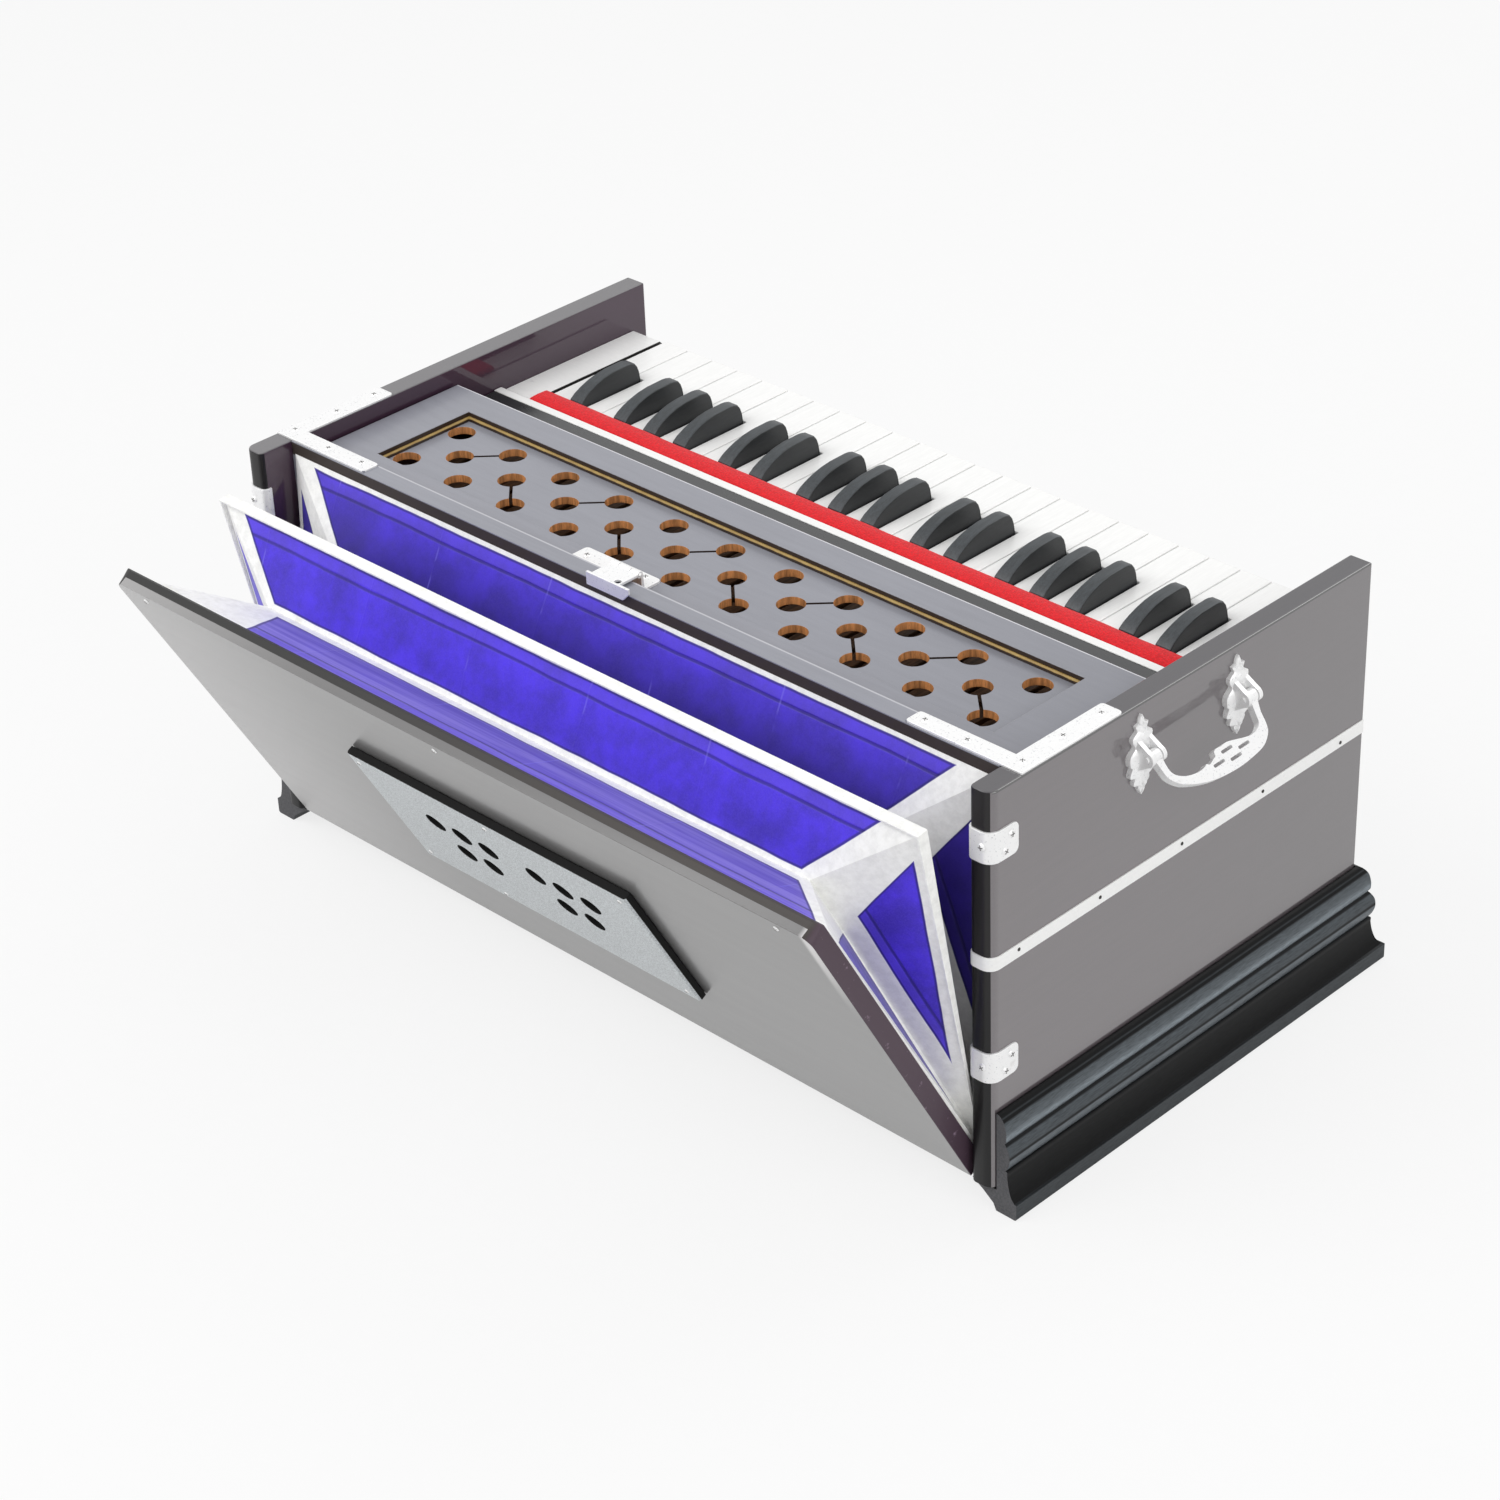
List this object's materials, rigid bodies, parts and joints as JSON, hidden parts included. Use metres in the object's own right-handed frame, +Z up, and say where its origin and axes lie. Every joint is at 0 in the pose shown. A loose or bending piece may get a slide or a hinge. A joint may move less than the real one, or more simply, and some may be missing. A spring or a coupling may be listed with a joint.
{
  "type": "indian harmonium",
  "caption": "Portable hand-pumped reed organ with a keyboard, perforated top cover, hinged two-fold bellows and bail handles.",
  "frame": {"origin": "on the floor under the middle of the whole instrument's box, open bellows board included", "axes": "+X along the keyboard towards the bass end, +Y towards the player, +Z up"},
  "size_m": [0.6178, 0.425, 0.2573],
  "materials": {
    "top_finish": "grey satin laminate on wood",
    "panel_finish": "dark satin stained wood",
    "moulding_finish": "dark polished wood",
    "inner_wood": "bare wood",
    "dark_rail": "black polished wood",
    "red_felt": "red felt",
    "ivory_white": "white key plastic",
    "black_keys": "black key plastic",
    "nickel": "bright nickel plate",
    "board_finish": "silver grey sheet on a dark edged board",
    "speckled_plate": "light speckled sheet",
    "blue_bellows": "blue cloth leaves with white leather tape",
    "white_tape": "white leather tape"
  },
  "bodies": {
    "case": {"case_body": "top_finish", "left_end_panel": "panel_finish", "right_end_panel": "panel_finish", "left_base_moulding": "moulding_finish", "right_base_moulding": "moulding_finish", "player_base_moulding": "moulding_finish", "reed_board": "inner_wood", "key_rail": "dark_rail", "felt_strip": "red_felt", "left_key_block": "ivory_white", "right_key_block": "ivory_white", "bellows_rear_pleat": "blue_bellows"},
    "bellows_middle": {"bellows_ridge_strip": "white_tape", "bellows_front_pleat": "blue_bellows"},
    "bellows_leaf": {"bellows_board": "board_finish", "intake_plate": "speckled_plate"},
    "cover": {"cover_frame": "top_finish", "sound_panel": "top_finish"},
    "catch": {"cover_catch": "nickel"},
    "left_bail": {"left_handle": "nickel"},
    "right_bail": {"right_handle": "nickel"},
    "key_body_01": {"key_01_white": "ivory_white"},
    "key_body_02": {"key_02_black": "black_keys"},
    "key_body_03": {"key_03_white": "ivory_white"},
    "key_body_04": {"key_04_black": "black_keys"},
    "key_body_05": {"key_05_white": "ivory_white"},
    "key_body_06": {"key_06_white": "ivory_white"},
    "key_body_07": {"key_07_black": "black_keys"},
    "key_body_08": {"key_08_white": "ivory_white"},
    "key_body_09": {"key_09_black": "black_keys"},
    "key_body_10": {"key_10_white": "ivory_white"},
    "key_body_11": {"key_11_black": "black_keys"},
    "key_body_12": {"key_12_white": "ivory_white"},
    "key_body_13": {"key_13_white": "ivory_white"},
    "key_body_14": {"key_14_black": "black_keys"},
    "key_body_15": {"key_15_white": "ivory_white"},
    "key_body_16": {"key_16_black": "black_keys"},
    "key_body_17": {"key_17_white": "ivory_white"},
    "key_body_18": {"key_18_white": "ivory_white"},
    "key_body_19": {"key_19_black": "black_keys"},
    "key_body_20": {"key_20_white": "ivory_white"},
    "key_body_21": {"key_21_black": "black_keys"},
    "key_body_22": {"key_22_white": "ivory_white"},
    "key_body_23": {"key_23_black": "black_keys"},
    "key_body_24": {"key_24_white": "ivory_white"},
    "key_body_25": {"key_25_white": "ivory_white"},
    "key_body_26": {"key_26_black": "black_keys"},
    "key_body_27": {"key_27_white": "ivory_white"},
    "key_body_28": {"key_28_black": "black_keys"},
    "key_body_29": {"key_29_white": "ivory_white"},
    "key_body_30": {"key_30_white": "ivory_white"},
    "key_body_31": {"key_31_black": "black_keys"},
    "key_body_32": {"key_32_white": "ivory_white"},
    "key_body_33": {"key_33_black": "black_keys"},
    "key_body_34": {"key_34_white": "ivory_white"},
    "key_body_35": {"key_35_black": "black_keys"},
    "key_body_36": {"key_36_white": "ivory_white"},
    "key_body_37": {"key_37_white": "ivory_white"},
    "key_body_38": {"key_38_black": "black_keys"},
    "key_body_39": {"key_39_white": "ivory_white"}
  },
  "joints": [
    {"name": "bellows_middle_hinge", "type": "hinge", "parent": "case", "child": "bellows_middle", "pos_m": [0, -0.09095, 0.0197], "axis": [1, 0, 0], "range_deg": [-12.28, 0], "deforming": ["bellows_rear_pleat"]},
    {"name": "bellows_board_hinge", "type": "hinge", "parent": "bellows_middle", "child": "bellows_leaf", "pos_m": [0, -0.09095, 0.0197], "axis": [1, 0, 0], "range_deg": [-16.59, 0], "deforming": ["bellows_front_pleat"]},
    {"name": "cover_hinge", "type": "hinge", "parent": "case", "child": "cover", "pos_m": [0, 0.04405, 0.238], "axis": [1, 0, 0], "range_deg": [-100, 0]},
    {"name": "catch_hinge", "type": "hinge", "parent": "cover", "child": "catch", "pos_m": [-0.008, -0.06355, 0.2541], "axis": [1, 0, 0], "range_deg": [-138, 0]},
    {"name": "right_handle_hinge", "type": "hinge", "parent": "case", "child": "right_bail", "pos_m": [0.2895, 0.04615, 0.226], "axis": [0, 1, 0], "range_deg": [-90, 43]},
    {"name": "left_handle_hinge", "type": "hinge", "parent": "case", "child": "left_bail", "pos_m": [-0.2895, 0.04615, 0.226], "axis": [0, 1, 0], "range_deg": [-43, 90]},
    {"name": "key_01", "type": "hinge", "parent": "case", "child": "key_body_01", "pos_m": [0.23815, 0.06885, 0.212], "axis": [1, 0, 0], "range_deg": [-4, 0], "stiffness_Nm_per_rad": 0.4, "springref_deg": 11.46},
    {"name": "key_02", "type": "hinge", "parent": "case", "child": "key_body_02", "pos_m": [0.22584, 0.06885, 0.212], "axis": [1, 0, 0], "range_deg": [-4, 0], "stiffness_Nm_per_rad": 0.4, "springref_deg": 11.46},
    {"name": "key_03", "type": "hinge", "parent": "case", "child": "key_body_03", "pos_m": [0.21353, 0.06885, 0.212], "axis": [1, 0, 0], "range_deg": [-4, 0], "stiffness_Nm_per_rad": 0.4, "springref_deg": 11.46},
    {"name": "key_04", "type": "hinge", "parent": "case", "child": "key_body_04", "pos_m": [0.20122, 0.06885, 0.212], "axis": [1, 0, 0], "range_deg": [-4, 0], "stiffness_Nm_per_rad": 0.4, "springref_deg": 11.46},
    {"name": "key_05", "type": "hinge", "parent": "case", "child": "key_body_05", "pos_m": [0.18891, 0.06885, 0.212], "axis": [1, 0, 0], "range_deg": [-4, 0], "stiffness_Nm_per_rad": 0.4, "springref_deg": 11.46},
    {"name": "key_06", "type": "hinge", "parent": "case", "child": "key_body_06", "pos_m": [0.1766, 0.06885, 0.212], "axis": [1, 0, 0], "range_deg": [-4, 0], "stiffness_Nm_per_rad": 0.4, "springref_deg": 11.46},
    {"name": "key_07", "type": "hinge", "parent": "case", "child": "key_body_07", "pos_m": [0.1643, 0.06885, 0.212], "axis": [1, 0, 0], "range_deg": [-4, 0], "stiffness_Nm_per_rad": 0.4, "springref_deg": 11.46},
    {"name": "key_08", "type": "hinge", "parent": "case", "child": "key_body_08", "pos_m": [0.15199, 0.06885, 0.212], "axis": [1, 0, 0], "range_deg": [-4, 0], "stiffness_Nm_per_rad": 0.4, "springref_deg": 11.46},
    {"name": "key_09", "type": "hinge", "parent": "case", "child": "key_body_09", "pos_m": [0.13968, 0.06885, 0.212], "axis": [1, 0, 0], "range_deg": [-4, 0], "stiffness_Nm_per_rad": 0.4, "springref_deg": 11.46},
    {"name": "key_10", "type": "hinge", "parent": "case", "child": "key_body_10", "pos_m": [0.12737, 0.06885, 0.212], "axis": [1, 0, 0], "range_deg": [-4, 0], "stiffness_Nm_per_rad": 0.4, "springref_deg": 11.46},
    {"name": "key_11", "type": "hinge", "parent": "case", "child": "key_body_11", "pos_m": [0.11506, 0.06885, 0.212], "axis": [1, 0, 0], "range_deg": [-4, 0], "stiffness_Nm_per_rad": 0.4, "springref_deg": 11.46},
    {"name": "key_12", "type": "hinge", "parent": "case", "child": "key_body_12", "pos_m": [0.10275, 0.06885, 0.212], "axis": [1, 0, 0], "range_deg": [-4, 0], "stiffness_Nm_per_rad": 0.4, "springref_deg": 11.46},
    {"name": "key_13", "type": "hinge", "parent": "case", "child": "key_body_13", "pos_m": [0.09045, 0.06885, 0.212], "axis": [1, 0, 0], "range_deg": [-4, 0], "stiffness_Nm_per_rad": 0.4, "springref_deg": 11.46},
    {"name": "key_14", "type": "hinge", "parent": "case", "child": "key_body_14", "pos_m": [0.07814, 0.06885, 0.212], "axis": [1, 0, 0], "range_deg": [-4, 0], "stiffness_Nm_per_rad": 0.4, "springref_deg": 11.46},
    {"name": "key_15", "type": "hinge", "parent": "case", "child": "key_body_15", "pos_m": [0.06583, 0.06885, 0.212], "axis": [1, 0, 0], "range_deg": [-4, 0], "stiffness_Nm_per_rad": 0.4, "springref_deg": 11.46},
    {"name": "key_16", "type": "hinge", "parent": "case", "child": "key_body_16", "pos_m": [0.05352, 0.06885, 0.212], "axis": [1, 0, 0], "range_deg": [-4, 0], "stiffness_Nm_per_rad": 0.4, "springref_deg": 11.46},
    {"name": "key_17", "type": "hinge", "parent": "case", "child": "key_body_17", "pos_m": [0.04121, 0.06885, 0.212], "axis": [1, 0, 0], "range_deg": [-4, 0], "stiffness_Nm_per_rad": 0.4, "springref_deg": 11.46},
    {"name": "key_18", "type": "hinge", "parent": "case", "child": "key_body_18", "pos_m": [0.0289, 0.06885, 0.212], "axis": [1, 0, 0], "range_deg": [-4, 0], "stiffness_Nm_per_rad": 0.4, "springref_deg": 11.46},
    {"name": "key_19", "type": "hinge", "parent": "case", "child": "key_body_19", "pos_m": [0.0166, 0.06885, 0.212], "axis": [1, 0, 0], "range_deg": [-4, 0], "stiffness_Nm_per_rad": 0.4, "springref_deg": 11.46},
    {"name": "key_20", "type": "hinge", "parent": "case", "child": "key_body_20", "pos_m": [0.00429, 0.06885, 0.212], "axis": [1, 0, 0], "range_deg": [-4, 0], "stiffness_Nm_per_rad": 0.4, "springref_deg": 11.46},
    {"name": "key_21", "type": "hinge", "parent": "case", "child": "key_body_21", "pos_m": [-0.00802, 0.06885, 0.212], "axis": [1, 0, 0], "range_deg": [-4, 0], "stiffness_Nm_per_rad": 0.4, "springref_deg": 11.46},
    {"name": "key_22", "type": "hinge", "parent": "case", "child": "key_body_22", "pos_m": [-0.02033, 0.06885, 0.212], "axis": [1, 0, 0], "range_deg": [-4, 0], "stiffness_Nm_per_rad": 0.4, "springref_deg": 11.46},
    {"name": "key_23", "type": "hinge", "parent": "case", "child": "key_body_23", "pos_m": [-0.03264, 0.06885, 0.212], "axis": [1, 0, 0], "range_deg": [-4, 0], "stiffness_Nm_per_rad": 0.4, "springref_deg": 11.46},
    {"name": "key_24", "type": "hinge", "parent": "case", "child": "key_body_24", "pos_m": [-0.04495, 0.06885, 0.212], "axis": [1, 0, 0], "range_deg": [-4, 0], "stiffness_Nm_per_rad": 0.4, "springref_deg": 11.46},
    {"name": "key_25", "type": "hinge", "parent": "case", "child": "key_body_25", "pos_m": [-0.05725, 0.06885, 0.212], "axis": [1, 0, 0], "range_deg": [-4, 0], "stiffness_Nm_per_rad": 0.4, "springref_deg": 11.46},
    {"name": "key_26", "type": "hinge", "parent": "case", "child": "key_body_26", "pos_m": [-0.06956, 0.06885, 0.212], "axis": [1, 0, 0], "range_deg": [-4, 0], "stiffness_Nm_per_rad": 0.4, "springref_deg": 11.46},
    {"name": "key_27", "type": "hinge", "parent": "case", "child": "key_body_27", "pos_m": [-0.08187, 0.06885, 0.212], "axis": [1, 0, 0], "range_deg": [-4, 0], "stiffness_Nm_per_rad": 0.4, "springref_deg": 11.46},
    {"name": "key_28", "type": "hinge", "parent": "case", "child": "key_body_28", "pos_m": [-0.09418, 0.06885, 0.212], "axis": [1, 0, 0], "range_deg": [-4, 0], "stiffness_Nm_per_rad": 0.4, "springref_deg": 11.46},
    {"name": "key_29", "type": "hinge", "parent": "case", "child": "key_body_29", "pos_m": [-0.10649, 0.06885, 0.212], "axis": [1, 0, 0], "range_deg": [-4, 0], "stiffness_Nm_per_rad": 0.4, "springref_deg": 11.46},
    {"name": "key_30", "type": "hinge", "parent": "case", "child": "key_body_30", "pos_m": [-0.1188, 0.06885, 0.212], "axis": [1, 0, 0], "range_deg": [-4, 0], "stiffness_Nm_per_rad": 0.4, "springref_deg": 11.46},
    {"name": "key_31", "type": "hinge", "parent": "case", "child": "key_body_31", "pos_m": [-0.1311, 0.06885, 0.212], "axis": [1, 0, 0], "range_deg": [-4, 0], "stiffness_Nm_per_rad": 0.4, "springref_deg": 11.46},
    {"name": "key_32", "type": "hinge", "parent": "case", "child": "key_body_32", "pos_m": [-0.14341, 0.06885, 0.212], "axis": [1, 0, 0], "range_deg": [-4, 0], "stiffness_Nm_per_rad": 0.4, "springref_deg": 11.46},
    {"name": "key_33", "type": "hinge", "parent": "case", "child": "key_body_33", "pos_m": [-0.15572, 0.06885, 0.212], "axis": [1, 0, 0], "range_deg": [-4, 0], "stiffness_Nm_per_rad": 0.4, "springref_deg": 11.46},
    {"name": "key_34", "type": "hinge", "parent": "case", "child": "key_body_34", "pos_m": [-0.16803, 0.06885, 0.212], "axis": [1, 0, 0], "range_deg": [-4, 0], "stiffness_Nm_per_rad": 0.4, "springref_deg": 11.46},
    {"name": "key_35", "type": "hinge", "parent": "case", "child": "key_body_35", "pos_m": [-0.18034, 0.06885, 0.212], "axis": [1, 0, 0], "range_deg": [-4, 0], "stiffness_Nm_per_rad": 0.4, "springref_deg": 11.46},
    {"name": "key_36", "type": "hinge", "parent": "case", "child": "key_body_36", "pos_m": [-0.19265, 0.06885, 0.212], "axis": [1, 0, 0], "range_deg": [-4, 0], "stiffness_Nm_per_rad": 0.4, "springref_deg": 11.46},
    {"name": "key_37", "type": "hinge", "parent": "case", "child": "key_body_37", "pos_m": [-0.20495, 0.06885, 0.212], "axis": [1, 0, 0], "range_deg": [-4, 0], "stiffness_Nm_per_rad": 0.4, "springref_deg": 11.46},
    {"name": "key_38", "type": "hinge", "parent": "case", "child": "key_body_38", "pos_m": [-0.21726, 0.06885, 0.212], "axis": [1, 0, 0], "range_deg": [-4, 0], "stiffness_Nm_per_rad": 0.4, "springref_deg": 11.46},
    {"name": "key_39", "type": "hinge", "parent": "case", "child": "key_body_39", "pos_m": [-0.22957, 0.06885, 0.212], "axis": [1, 0, 0], "range_deg": [-4, 0], "stiffness_Nm_per_rad": 0.4, "springref_deg": 11.46}
  ],
  "couplings": [
    {"joint": "bellows_board_hinge", "follows": "bellows_middle_hinge", "ratio": 1.351}
  ]
}
